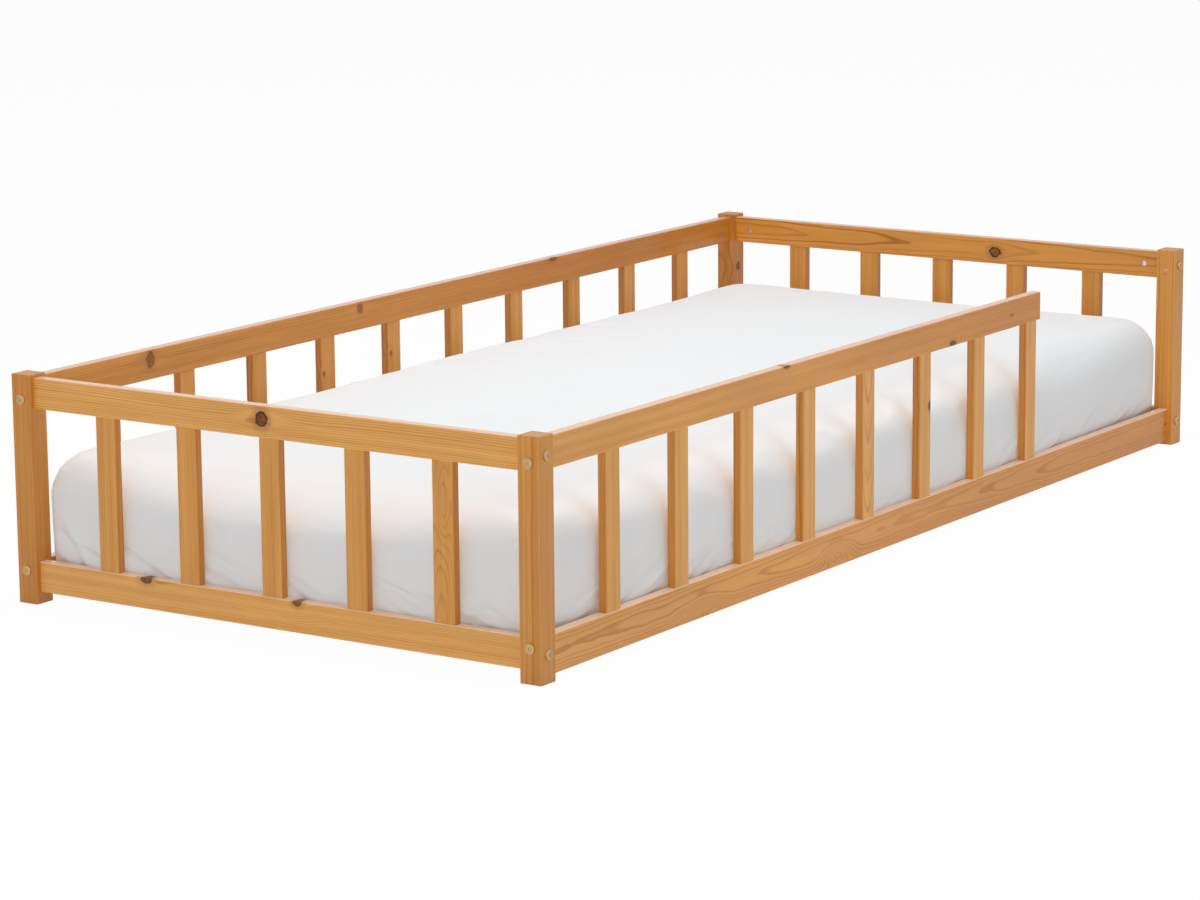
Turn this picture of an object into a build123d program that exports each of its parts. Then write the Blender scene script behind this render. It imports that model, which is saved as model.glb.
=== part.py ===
from build123d import *
import math
import os

os.makedirs("parts", exist_ok=True)

# The bed lies along X with its head at +X, its open side faces -Y, and the floor is Z = 0.
# The origin is on the floor, at the centre of the bed's box.

# Mattress and fitted sheet
mattress_length = 2000.0
mattress_width = 900.0
mattress_high = 179.0
mattress_corner = 20.0
corner_spread = 0.4
foot_edge_round = 150.0
front_edge_round = 78.0
firm_edge_round = 44.0
soft_edge_drop = 80.0
firm_edge_drop = 64.0
mattress_crown = 6.0
mattress_belly = 5.0
mattress_draw = 1.0
mattress_foot_round = 7.0
mattress_room = 1.0
mattress_pad = 12.0
shoulder_steps = 8
shoulder_sweep = 82.0
crown_steps = 4
crown_reach = 0.8
sheet_cloth = 1.0
sheet_slack = 0.3
sheet_hem = 90.0

# Posts and rails
post_side = 37.0
post_high = 358.0
post_round = 2.0
post_top_chamfer = 1.0
rail_thick = 18.0
rail_high = 48.0
base_rail_high = 59.0
rail_round = 1.6
rail_floor_gap = 18.0
rail_top_drop = 5.0
entry_rail_overhang = 9.0

# Guard slats, spaced with equal gaps between the posts
slat_wide = 37.0
slat_thick = 14.0
slat_round = 1.2
end_slat_count = 5
side_slat_count = 10
front_slat_count = 8
tenon_long = 12.0
tenon_shoulder = 3.0
mortise_relief = 1.0
glue_gap = 0.1

# Connector bolts and barrel nuts
bolt_dia = 6.0
bolt_head_dia = 16.0
bolt_head_thick = 2.5
bolt_head_round = 0.7
bolt_dish_dia = 11.0
bolt_dish_deep = 0.4
bolt_socket = 4.0
bolt_socket_deep = 1.4
bolt_hole_play = 0.5
bolt_side_offset = 10.0
bolt_tip = 3.0
bolt_end_chamfer = 0.75
nut_dia = 10.0
nut_long = 13.0
nut_inset = 30.0
nut_play = 0.3
nut_thread_play = 0.25
nut_slot_wide = 1.4
nut_slot_deep = 1.2

# Dowels beside the bolts
dowel_dia = 8.0
dowel_in_post = 13.0
dowel_in_rail = 17.0
dowel_play = 0.1
dowel_offset = 14.0
dowel_end_chamfer = 0.8

# Button caps on the unused bolt hole
cap_dia = 11.0
cap_dome = 1.8
cap_stem_long = 8.0
cap_stem_play = 0.2

# Cleats, base slats and their screws
cleat_wide = 20.0
cleat_high = 20.0
base_slat_count = 11
base_slat_wide = 90.0
base_slat_thick = 16.0
base_slat_round = 3.0
base_slat_play = 2.0
screw_dia = 4.0
screw_head_dia = 8.0
screw_head_high = 2.2
screw_play = 0.1
base_screw_bite = 14.0
cleat_screw_bite = 10.0

# Sizes that follow from the ones above
frame_length = mattress_length + 2 * (mattress_room + post_side)
frame_width = mattress_width + 2 * (mattress_room + post_side)
post_x = (frame_length - post_side) / 2
post_y = (frame_width - post_side) / 2
rail_long = frame_length - 2 * post_side
rail_short = frame_width - 2 * post_side
bottom_rail_z = rail_floor_gap + rail_high / 2
top_rail_z = post_high - rail_top_drop - rail_high / 2
slat_bottom = bottom_rail_z + rail_high / 2
slat_top = top_rail_z - rail_high / 2
side_gap = (rail_long - side_slat_count * slat_wide) / (side_slat_count + 1)
end_gap = (rail_short - end_slat_count * slat_wide) / (end_slat_count + 1)
side_pitch = side_gap + slat_wide
end_pitch = end_gap + slat_wide
tenon_wide = slat_wide - 2 * tenon_shoulder
tenon_thick = slat_thick - 2 * tenon_shoulder
mortise_wide = tenon_wide + 2 * glue_gap
mortise_thick = tenon_thick + 2 * glue_gap
mortise_deep = tenon_long + mortise_relief
bolt_long = post_side + nut_inset + nut_dia / 2 + bolt_tip
bolt_hole_dia = bolt_dia + bolt_hole_play
base_z = rail_floor_gap + cleat_high
mattress_z = base_z + base_slat_thick
base_slat_long = frame_width - post_side - rail_thick - 2 * base_slat_play
base_span = frame_length - post_side - rail_thick
base_gap = (base_span - base_slat_count * base_slat_wide) / (base_slat_count + 1)
cleat_y = post_y - (rail_thick + cleat_wide) / 2

slat_xs = [-rail_long / 2 + side_pitch * (i + 1) - slat_wide / 2 for i in range(side_slat_count)]
slat_ys = [rail_short / 2 - end_pitch * (i + 1) + slat_wide / 2 for i in range(end_slat_count)]
base_xs = [(i - (base_slat_count - 1) / 2) * (base_slat_wide + base_gap) for i in range(base_slat_count)]
# The cleat screws stand midway between the base slats, clear of the base slats' own screws.
cleat_screw_xs = [(a + b) / 2 for a, b in zip(base_xs, base_xs[1:])]
entry_rail_end = slat_xs[front_slat_count - 1] + slat_wide / 2 + entry_rail_overhang
entry_rail_long = entry_rail_end + rail_long / 2


def along(place, direction):
    """A plane at a point, with its Z axis along a direction."""
    return Plane(origin=place, z_dir=direction)


def rod(place, direction, diameter, length):
    """A round bar that starts at a point and runs along a direction."""
    return along(place, direction) * extrude(Circle(diameter / 2), length)


def bar(size_x, size_y, size_z, axis, radius):
    """A bar centred on the origin, with its four long edges rounded."""
    solid = Box(size_x, size_y, size_z)
    return fillet(solid.edges().filter_by(axis), radius)


def rail_end(side, level):
    """Where one rail end meets its post: its bolt's point, its dowel's point and the end's two ways.

    side is the way along the rail to this end, and the side of the bed that the rail stands on.
    """
    run, across = side
    lengthwise = run.X != 0
    reach = rail_long / 2 if lengthwise else rail_short / 2
    sideways = post_y if lengthwise else post_x
    height = top_rail_z if level == "top" else bottom_rail_z
    # The bolts of the long rails pass the bolts of the end rails on the side towards mid height.
    inward = -1 if level == "top" else 1
    bolt_z = height + (inward * bolt_side_offset if lengthwise else 0)
    dowel_z = height - inward * dowel_offset
    point = run * reach + across * sideways
    return Vector(point.X, point.Y, bolt_z), Vector(point.X, point.Y, dowel_z), run, across


# How far the middle of a quarter arc stands from its two tangents, as a share of its radius
ARC_MID = 1 - math.sqrt(0.5)
PLUS_X, MINUS_X = Vector(1, 0, 0), Vector(-1, 0, 0)
PLUS_Y, MINUS_Y = Vector(0, 1, 0), Vector(0, -1, 0)
DOWN = Vector(0, 0, -1)

# Each rail's two ends as (way along the rail, side of the bed that the rail stands on)
rail_ends = {
    "foot": [(PLUS_Y, MINUS_X), (MINUS_Y, MINUS_X)],
    "head": [(PLUS_Y, PLUS_X), (MINUS_Y, PLUS_X)],
    "back": [(PLUS_X, PLUS_Y), (MINUS_X, PLUS_Y)],
    "front": [(PLUS_X, MINUS_Y), (MINUS_X, MINUS_Y)],
}
levels = ["top", "bottom"]
# The front top rail stops short of the head-front post, so this end has no joint.
open_end = ("front", "top", PLUS_X)


def joints_of(side, level):
    """The joints at the ends of one rail."""
    return [
        rail_end(end, level)
        for end in rail_ends[side]
        if (side, level, end[0]) != open_end
    ]


all_joints = [joint for side in rail_ends for level in levels for joint in joints_of(side, level)]


def make_rail(side, level):
    """One rail, bored for its bolts, nuts and dowels and mortised for its guard slats."""
    lengthwise = side in ("front", "back")
    height = top_rail_z if level == "top" else bottom_rail_z
    # The long bottom rails carry the base, so they reach further down than the others.
    high = base_rail_high if lengthwise and level == "bottom" else rail_high
    height -= (high - rail_high) / 2
    short = (side, level) == open_end[:2]
    length = entry_rail_long if short else rail_long if lengthwise else rail_short
    shift = (length - rail_long) / 2 if lengthwise else 0
    if lengthwise:
        solid = bar(length, rail_thick, high, Axis.X, rail_round)
        place = Vector(shift, post_y if side == "back" else -post_y, height)
        count = front_slat_count if side == "front" else side_slat_count
        slats = [(x, place.Y) for x in slat_xs[:count]]
        mortise = Box(mortise_wide, mortise_thick, 2 * mortise_deep)
    else:
        solid = bar(rail_thick, length, high, Axis.Y, rail_round)
        place = Vector(post_x if side == "head" else -post_x, 0, height)
        slats = [(place.X, y) for y in slat_ys]
        mortise = Box(mortise_thick, mortise_wide, 2 * mortise_deep)
    solid = Pos(place) * solid
    face_z = slat_top if level == "top" else slat_bottom
    for x, y in slats:
        solid -= Pos(x, y, face_z) * mortise
    for bolt_point, dowel_point, run, across in joints_of(side, level):
        nut_start = bolt_point - run * nut_inset + across * (nut_long / 2)
        solid -= rod(bolt_point, run * -1, bolt_hole_dia, bolt_long - post_side + bolt_tip)
        solid -= rod(nut_start, across * -1, nut_dia + nut_play, nut_long + rail_thick)
        solid -= rod(dowel_point, run * -1, dowel_dia + dowel_play, dowel_in_rail + mortise_relief)
    if level == "bottom":
        for point, way in cleat_screw_points:
            if way == rail_ends[side][0][1]:
                solid -= screw_hole(point, way, cleat_screw_long)
    return solid


def make_post(way_x, way_y):
    """One corner post, bored where rails meet it."""
    solid = Box(post_side, post_side, post_high, align=(Align.CENTER, Align.CENTER, Align.MIN))
    solid = fillet(solid.edges().filter_by(Axis.Z), post_round)
    solid = chamfer(solid.faces().sort_by(Axis.Z)[-1].edges(), post_top_chamfer)
    centre = Vector(way_x * post_x, way_y * post_y, 0)
    solid = Pos(centre) * solid
    for side, ends in rail_ends.items():
        for run, across in ends:
            if (run + across).X * way_x <= 0 or (run + across).Y * way_y <= 0:
                continue
            for level in levels:
                bolt_point, dowel_point, run, across = rail_end((run, across), level)
                solid -= rod(bolt_point, run, bolt_hole_dia, post_side)
                if (side, level, run) != open_end:
                    solid -= rod(dowel_point, run, dowel_dia + dowel_play, dowel_in_post + mortise_relief)
    return solid


def make_guard_slat(x, y, lengthwise):
    """One upright guard slat with a stub tenon at each end."""
    long = slat_top - slat_bottom
    solid = bar(slat_wide, slat_thick, long, Axis.Z, slat_round)
    solid += Box(tenon_wide, tenon_thick, long + 2 * tenon_long)
    turn = 0 if lengthwise else 90
    return Pos(x, y, (slat_top + slat_bottom) / 2) * Rot(0, 0, turn) * solid


def make_bolt():
    """A connector bolt, its head's underside at the origin and its shank along -Z."""
    head = extrude(Circle(bolt_head_dia / 2), bolt_head_thick)
    head = fillet(head.edges().sort_by(Axis.Z)[-1], bolt_head_round)
    socket = extrude(RegularPolygon(bolt_socket / 2, 6, major_radius=False), bolt_socket_deep)
    head -= Pos(0, 0, bolt_head_thick - bolt_socket_deep) * socket
    head -= Pos(0, 0, bolt_head_thick - bolt_dish_deep) * extrude(Circle(bolt_dish_dia / 2), bolt_dish_deep)
    shank = extrude(Circle(bolt_dia / 2), -bolt_long)
    shank = chamfer(shank.edges().sort_by(Axis.Z)[0], bolt_end_chamfer)
    return head + shank


def make_nut():
    """A barrel nut on the Z axis, cross bored along X and slotted in its upper end."""
    solid = Cylinder(nut_dia / 2, nut_long)
    solid -= Rot(0, 90, 0) * Cylinder((bolt_dia + nut_thread_play) / 2, 2 * nut_dia)
    return solid - Pos(0, 0, nut_long / 2) * Box(nut_dia, nut_slot_wide, 2 * nut_slot_deep)


def make_dowel():
    """A dowel along +Z from the joint plane into the post, and along -Z into the rail."""
    solid = Pos(0, 0, -dowel_in_rail) * extrude(Circle(dowel_dia / 2), dowel_in_rail + dowel_in_post)
    return chamfer(solid.edges().filter_by(GeomType.CIRCLE), dowel_end_chamfer)


def make_cap():
    """A domed button cap on the Z axis, its rim at the origin and its stem along -Z."""
    rim = cap_dia / 2
    dome_radius = (rim**2 + cap_dome**2) / (2 * cap_dome)
    dome = Pos(0, 0, cap_dome - dome_radius) * Sphere(dome_radius)
    dome &= Pos(0, 0, cap_dome) * Box(2 * cap_dia, 2 * cap_dia, 2 * cap_dome)
    return dome + extrude(Circle((bolt_hole_dia - cap_stem_play) / 2), -cap_stem_long)


def screw_profile(length, play):
    """Half the outline of a countersunk screw, its head flush with the origin."""
    head, shank = screw_head_dia / 2 + play, screw_dia / 2 + play
    outline = Polyline(
        (0, 0),
        (head, 0),
        (shank, -screw_head_high),
        (shank, -length + screw_dia),
        (0, -length - play),
        close=True,
    )
    return Plane.XZ * make_face(outline)


def screw_at(place, direction, length, play=0.0):
    """A countersunk screw driven from a point along a direction."""
    return along(place, direction * -1) * revolve(screw_profile(length, play), Axis.Z)


def screw_hole(place, direction, length):
    """The hole that a screw fits."""
    return screw_at(place, direction, length, screw_play)


base_screw_long = base_slat_thick + base_screw_bite
cleat_screw_long = cleat_wide + cleat_screw_bite
base_screw_points = [Vector(x, way * cleat_y, mattress_z) for x in base_xs for way in (1, -1)]
cleat_screw_points = [
    (Vector(x, way.Y * (cleat_y - cleat_wide / 2), base_z - cleat_high / 2), way)
    for x in cleat_screw_xs
    for way in (PLUS_Y, MINUS_Y)
]


def make_cleat(way):
    """One cleat along a long bottom rail, bored for its own screws and the base slats'."""
    solid = Pos(0, way.Y * cleat_y, base_z - cleat_high / 2) * Box(rail_long, cleat_wide, cleat_high)
    for point, side in cleat_screw_points:
        if side == way:
            solid -= screw_hole(point, way, cleat_screw_long)
    for point in base_screw_points:
        if point.Y * way.Y > 0:
            solid -= screw_hole(point, DOWN, base_screw_long)
    return solid


def make_base_slat(x):
    """One base slat across the bed, with a screw hole over each cleat."""
    solid = bar(base_slat_wide, base_slat_long, base_slat_thick, Axis.Y, base_slat_round)
    solid = Pos(x, 0, base_z + base_slat_thick / 2) * solid
    for point in base_screw_points:
        if abs(point.X - x) < base_slat_wide / 2:
            solid -= screw_hole(point, DOWN, base_screw_long)
    return solid


def edge_inset(fall, edge_round, edge_drop):
    """How far in the padded top edge has rounded over, at a fall below the top."""
    rise = max(0.0, 1 - fall / edge_drop)
    return edge_round * (1 - math.sqrt(1 - rise**2))


def mattress_form(skin, bottom):
    """The padded form, drawn in by a skin thickness, from a bottom height up to its crown."""
    top = mattress_z + mattress_high - skin
    soft_drop = soft_edge_drop - skin
    # The top edge droops more at the foot and the front than at the head and the back.
    edges = [
        (foot_edge_round - skin, soft_drop),
        (firm_edge_round - skin, firm_edge_drop - skin),
        (front_edge_round - skin, soft_drop),
        (firm_edge_round - skin, firm_edge_drop - skin),
    ]
    # The sides belly out a little, and the elastic hem draws them in again near the bottom.
    lower = [
        (bottom, mattress_draw + mattress_foot_round),
        (bottom + mattress_foot_round * ARC_MID, mattress_draw + mattress_foot_round * ARC_MID),
        (bottom + mattress_foot_round, mattress_draw),
        ((bottom + top - soft_drop) / 2, 0.0),
    ]
    rings = [(z, [draw - mattress_belly] * 4, 0.0) for z, draw in lower]
    for step in range(shoulder_steps):
        angle = math.radians(shoulder_sweep * step / (shoulder_steps - 1))
        fall = soft_drop * (1 - math.sin(angle))
        belly = mattress_belly * (fall / soft_drop) ** 2
        rings.append((top - fall, [edge_inset(fall, *edge) - belly for edge in edges], 0.0))
    # The top swells from its edge to the middle as a shallow parabola.
    for step in range(1, crown_steps + 1):
        share = crown_reach * step / crown_steps
        reach = share * (mattress_width / 2 - front_edge_round - mattress_corner)
        rings.append((top + mattress_crown * (1 - (1 - share) ** 2), [edge[0] for edge in edges], reach))
    # The upright corners are tight, and they round out towards the top.
    sections = []
    for z, insets, reach in rings:
        foot, head, front, back = insets
        length = mattress_length - 2 * (skin + reach) - foot - head
        width = mattress_width - 2 * (skin + reach) - front - back
        corner = mattress_corner - skin + corner_spread * sum(insets) / 4
        middle = Pos((foot - head) / 2, (front - back) / 2, z)
        sections.append(middle * RectangleRounded(length, width, corner))
    return loft(sections, ruled=True)


def make_mattress():
    """The mattress: a quilted pad all round, closed over the space that its spring unit fills."""
    skin = sheet_cloth + sheet_slack
    bottom = mattress_z + sheet_cloth
    return mattress_form(skin, bottom) - mattress_form(skin + mattress_pad, bottom + mattress_pad)


def make_sheet():
    """The fitted sheet: a skin over the mattress with a hem turned under it."""
    hem_z = mattress_z + sheet_cloth
    window = RectangleRounded(
        mattress_length - 2 * sheet_hem, mattress_width - 2 * sheet_hem, mattress_corner
    )
    skin = mattress_form(0, mattress_z) - mattress_form(sheet_cloth, hem_z)
    return skin - Pos(0, 0, mattress_z) * extrude(window, sheet_cloth, both=True)


def save(name, *solids):
    """Write one node, a single piece or a group of like pieces."""
    export_step(solids[0] if len(solids) == 1 else Compound(list(solids)), f"parts/{name}.step")


for post_name, way_x, way_y in (
    ("post_foot_front", -1, -1),
    ("post_foot_back", -1, 1),
    ("post_head_front", 1, -1),
    ("post_head_back", 1, 1),
):
    save(post_name, make_post(way_x, way_y))

for side in rail_ends:
    for level in levels:
        save(f"{side}_{level}_rail", make_rail(side, level))

for i, x in enumerate(slat_xs):
    save(f"back_slat_{i + 1}", make_guard_slat(x, post_y, True))
    if i < front_slat_count:
        save(f"front_slat_{i + 1}", make_guard_slat(x, -post_y, True))

for i, y in enumerate(slat_ys):
    save(f"foot_slat_{i + 1}", make_guard_slat(-post_x, y, False))
    save(f"head_slat_{i + 1}", make_guard_slat(post_x, y, False))

bolt, nut, dowel = make_bolt(), make_nut(), make_dowel()
save("connector_bolts", *[along(p + run * post_side, run) * bolt for p, d, run, across in all_joints])
save(
    "barrel_nuts",
    *[
        Plane(origin=p - run * nut_inset, x_dir=run, z_dir=across * -1) * nut
        for p, d, run, across in all_joints
    ],
)
save("rail_dowels", *[along(d, run) * dowel for p, d, run, across in all_joints])

spare_hole, _, spare_run, _ = rail_end((PLUS_X, MINUS_Y), "top")
cap = make_cap()
save(
    "hole_caps",
    along(spare_hole, spare_run * -1) * cap,
    along(spare_hole + spare_run * post_side, spare_run) * cap,
)

save("front_cleat", make_cleat(MINUS_Y))
save("back_cleat", make_cleat(PLUS_Y))
for i, x in enumerate(base_xs):
    save(f"base_slat_{i + 1}", make_base_slat(x))
save(
    "wood_screws",
    *[screw_at(point, DOWN, base_screw_long) for point in base_screw_points],
    *[screw_at(point, way, cleat_screw_long) for point, way in cleat_screw_points],
)

save("mattress", make_mattress())
save("fitted_sheet", make_sheet())
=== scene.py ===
import math
import random

import bmesh
import bpy
from bpy.props import FloatProperty, FloatVectorProperty, IntProperty, PointerProperty
from mathutils import Matrix, Vector


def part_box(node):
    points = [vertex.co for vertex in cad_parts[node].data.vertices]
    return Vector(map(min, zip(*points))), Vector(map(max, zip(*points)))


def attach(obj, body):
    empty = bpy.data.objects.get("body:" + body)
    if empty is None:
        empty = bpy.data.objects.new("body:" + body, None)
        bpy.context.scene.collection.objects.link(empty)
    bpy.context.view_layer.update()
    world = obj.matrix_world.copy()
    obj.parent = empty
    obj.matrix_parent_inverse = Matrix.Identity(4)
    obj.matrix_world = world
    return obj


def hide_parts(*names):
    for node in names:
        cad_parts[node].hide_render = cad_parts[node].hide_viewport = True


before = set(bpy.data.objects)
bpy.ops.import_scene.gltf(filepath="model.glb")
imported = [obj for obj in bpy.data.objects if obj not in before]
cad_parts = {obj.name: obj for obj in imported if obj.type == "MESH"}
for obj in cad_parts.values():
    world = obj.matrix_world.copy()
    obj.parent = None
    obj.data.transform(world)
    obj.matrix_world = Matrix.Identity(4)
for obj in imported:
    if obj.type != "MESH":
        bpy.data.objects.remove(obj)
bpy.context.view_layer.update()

bl_info = {
    "name": "Toddler bed",
    "version": (1, 0, 0),
    "blender": (4, 5, 0),
    "location": "3D View > Sidebar > Bed",
    "description": "Finishes a pine toddler bed, its hardware, its mattress and its fitted sheet",
    "category": "Object",
}

SIDES = ("foot", "head", "back", "front")
POSTS = ["post_foot_front", "post_foot_back", "post_head_front", "post_head_back"]
RAILS = [f"{side}_{level}_rail" for side in SIDES for level in ("top", "bottom")]
GUARD_SLATS = sorted(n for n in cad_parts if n.split("_slat_")[0] in SIDES)
BASE_SLATS = sorted(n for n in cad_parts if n.startswith("base_slat_"))
CLEATS = ["front_cleat", "back_cleat"]

# Coats of stain on each post and rail, partly real staining and partly painted shade: the back and head
# boards, where the light falls off, get more coats
COATS_AND_SHADE = {
    "foot_top_rail": 0.90,
    "foot_bottom_rail": 0.86,
    "back_top_rail": 1.42,
    "back_bottom_rail": 1.42,
    "head_top_rail": 1.42,
    "head_bottom_rail": 1.42,
    "front_top_rail": 0.92,
    "front_bottom_rail": 0.92,
    "post_foot_front": 1.36,
    "post_foot_back": 1.48,
    "post_head_front": 1.38,
    "post_head_back": 1.75,
}

# Coats of stain on the guard slats of each side, partly real staining and partly painted shade: the back and
# head sides, where the light falls off, get more coats
SLAT_COATS_AND_SHADE = {"foot": 1.14, "front": 1.02, "back": 1.28, "head": 1.36}

# How strongly the ring lines show on each kind of board, of which the first that fits a name counts
RING_CONTRAST = {
    "front_top_rail": 0.65,
    "back_top_rail": 0.65,
    "post": 0.6,
    "rail": 1.15,
    "slat": 0.7,
    "cleat": 0.9,
}

# Painted highlight on the rails' upper faces, a pale colour that stands for the lacquer's reflection, as the
# share of that colour and the colour
PAINTED_TOP_HIGHLIGHTS = {"top_rail": (0.40, (0.56, 0.45, 0.44)), "bottom_rail": (0.65, (0.95, 0.72, 0.60))}

# Painted shade: boards whose end towards +X or +Y is darker, where the light falls off, as the shares of the
# shade tint at the two ends
PAINTED_SHADE_ENDS = {
    "front_top_rail": (0.20, 0.95),
    "front_bottom_rail": (0.20, 0.95),
    "back_top_rail": (0.0, 0.60),
    "back_bottom_rail": (0.0, 0.60),
}

# The mattress's height at its top edges, and those edges as (axis, way, round, drop, bow of the side below),
# in metres
MATTRESS_TOP = 0.233
MATTRESS_EDGES = [
    (0, -1, 0.150, 0.080, 0.0035),
    (0, 1, 0.044, 0.064, 0.0030),
    (1, -1, 0.078, 0.080, 0.0035),
    (1, 1, 0.044, 0.064, 0.0030),
]

# How far from a corner, in from a side or up a side each push on the mattress's skin acts, in metres
CORNER_RUN = (0.05, 0.32)
UPRIGHT_RUN = (-0.004, 0.018)
SHOULDER_DEPTH = 0.25
BOW_DEPTH = 0.08
BOW_UNDER = 0.05
BOW_FULL = 0.075
BOW_FALL = (0.150, 0.226)
HEM_DEPTH = 0.05
HEM_FALL = (0.056, 0.080)
LIFT_TOP = 0.150
LIFT_SHARE = 0.5

# How sharply the bow and the fuller hem end at the corners
BOW_END = 4
HEM_END = 8

# Folds in the sheet's sides, by the side's axis and way, as (start, end, height, width), in metres
FOLDS = {
    (0, -1): [
        ((0.361, 0.060), (0.428, 0.140), 0.0024, 0.009),
        ((0.272, 0.057), (0.305, 0.088), 0.0016, 0.008),
        ((-0.312, 0.060), (-0.370, 0.108), 0.0022, 0.009),
    ],
    (1, -1): [
        ((-0.925, 0.058), (-0.845, 0.092), 0.0024, 0.009),
        ((-0.750, 0.060), (-0.650, 0.100), 0.0024, 0.010),
        ((-0.600, 0.098), (-0.530, 0.120), 0.0014, 0.009),
        ((-0.030, 0.060), (0.028, 0.094), 0.0022, 0.008),
        ((-0.004, 0.060), (0.056, 0.090), 0.0020, 0.008),
        ((0.165, 0.056), (0.290, 0.104), 0.0024, 0.010),
        ((0.352, 0.056), (0.472, 0.106), 0.0026, 0.010),
        ((0.352, 0.076), (0.438, 0.126), 0.0020, 0.009),
        ((0.535, 0.062), (0.632, 0.090), 0.0022, 0.009),
    ],
    (0, 1): [
        ((-0.330, 0.060), (-0.390, 0.112), 0.0022, 0.009),
        ((0.080, 0.058), (0.150, 0.096), 0.0020, 0.010),
        ((0.345, 0.060), (0.405, 0.118), 0.0022, 0.009),
    ],
    (1, 1): [
        ((-0.880, 0.060), (-0.945, 0.110), 0.0022, 0.009),
        ((-0.420, 0.058), (-0.330, 0.098), 0.0022, 0.010),
        ((0.110, 0.060), (0.205, 0.100), 0.0022, 0.010),
        ((0.600, 0.060), (0.520, 0.096), 0.0020, 0.009),
        ((0.870, 0.060), (0.935, 0.112), 0.0022, 0.009),
    ],
}

# Folds reach this far in and up a side, and fade in and out at these shares of their run
FOLD_DEPTH = 0.03
FOLD_TOP = 0.17
FOLD_IN = (-0.4, 0.1)
FOLD_OUT = (0.45, 1.2)

# A fold's crest and the dip below it, as shares of its height, and how many widths lie between the two
FOLD_CREST = 2.2
FOLD_DIP = 1.2
FOLD_DIP_OFF = 1.5

# Knots as (place along the board, place across it, half length, half width, darkness), in metres
KNOTS = {
    "foot_top_rail": [(0.011, 0.333, 0.0115, 0.0120, 1.0)],
    "foot_bottom_rail": [(0.240, 0.066, 0.012, 0.0085, 0.8), (-0.047, 0.066, 0.009, 0.0075, 0.75)],
    "back_top_rail": [
        (-0.742, 0.337, 0.010, 0.0140, 0.65),
        (-0.190, 0.341, 0.0075, 0.0090, 0.62),
        (0.392, 0.350, 0.012, 0.0045, 0.65),
    ],
    "head_top_rail": [(-0.115, 0.327, 0.012, 0.0095, 1.0)],
    "front_top_rail": [
        (0.388, 0.327, 0.007, 0.0018, 0.6),
        (0.181, 0.308, 0.010, 0.006, 0.8),
        (-0.350, 0.353, 0.009, 0.004, 0.8),
    ],
    "post_head_back": [(0.256, 1.0166, 0.008, 0.006, 0.9)],
    "front_slat_6": [(0.217, 0.108, 0.007, 0.005, 0.9)],
    "back_slat_4": [(0.244, -0.291, 0.004, 0.003, 0.7)],
    "back_slat_5": [(0.251, -0.102, 0.004, 0.003, 0.7)],
}

# Swirls as (place along the board, place across it, half length, half width, rise of the rings)
SWIRLS = {
    "front_bottom_rail": [
        (-0.589, 0.014, 0.050, 0.016, 0.012),
        (-0.191, 0.027, 0.042, 0.014, 0.010),
        (0.140, 0.008, 0.095, 0.018, 0.006),
    ],
    "foot_bottom_rail": [(-0.061, 0.034, 0.030, 0.008, 0.004)],
    "foot_slat_5": [(0.240, -0.313, 0.060, 0.012, 0.008)],
}

# Boards cut flat across the rings, as (rings' middle across the board, depth below it, lean along it,
# share of the mean ring gap)
FLAT_CUT = {
    "front_bottom_rail": (0.004, -0.080, 0.004, 0.55),
    "foot_slat_5": (0.004, -0.050, -0.030, 0.70),
    "front_slat_5": (-0.003, -0.045, 0.060, 1.0),
    "head_bottom_rail": (0.003, -0.070, 0.012, 1.0),
    "head_top_rail": (0.004, -0.060, 0.010, 1.0),
}


def colour_value(name, description, default):
    """A colour that a user can change."""
    return FloatVectorProperty(
        name=name, description=description, default=default, size=3, min=0.0, max=1.0, subtype="COLOR"
    )


def length_value(name, description, default):
    """A length that a user can change, in metres."""
    return FloatProperty(name=name, description=description, default=default, unit="LENGTH", precision=4)


def share_value(name, description, default):
    """A share from nothing to all that a user can change."""
    return FloatProperty(
        name=name, description=description, default=default, min=0.0, max=1.0, subtype="FACTOR"
    )


def angle_value(name, description, degrees):
    """An angle that a user can change, given here in degrees."""
    return FloatProperty(name=name, description=description, default=math.radians(degrees), subtype="ANGLE")


def watt_value(name, description, default):
    """A lamp's power that a user can change, in watts."""
    return FloatProperty(name=name, description=description, default=default, unit="POWER")


class BedWoodSettings(bpy.types.PropertyGroup):
    """The stained frame's wood and the plain wood of the base."""

    early_colour: colour_value("Early wood", "Stained wood between the ring lines", (0.80, 0.408, 0.104))
    late_colour: colour_value("Late wood", "Stained wood in the ring lines", (0.54, 0.210, 0.030))
    knot_colour: colour_value("Knot", "Heart of a knot", (0.25, 0.082, 0.020))
    plain_early_colour: colour_value("Plain early wood", "Bare pine between the lines", (0.70, 0.49, 0.27))
    plain_late_colour: colour_value("Plain late wood", "Bare pine in the ring lines", (0.52, 0.31, 0.13))
    ring_gap: length_value("Ring gap", "Mean distance between growth rings", 0.0030)
    gloss_roughness: share_value("Lacquer roughness", "Roughness of the satin lacquer", 0.20)


class BedHardwareSettings(bpy.types.PropertyGroup):
    """The bolts, nuts, screws, dowels and caps."""

    bolt_colour: colour_value("Bolt", "Antique brass of the bolt heads", (0.52, 0.35, 0.165))
    nut_colour: colour_value("Nut", "Zinc plate of the barrel nuts and screws", (0.72, 0.73, 0.75))
    cap_colour: colour_value("Cap", "Tan plastic of the hole caps", (0.52, 0.27, 0.095))
    dowel_colour: colour_value("Dowel", "Beech of the dowels", (0.55, 0.36, 0.21))


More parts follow.
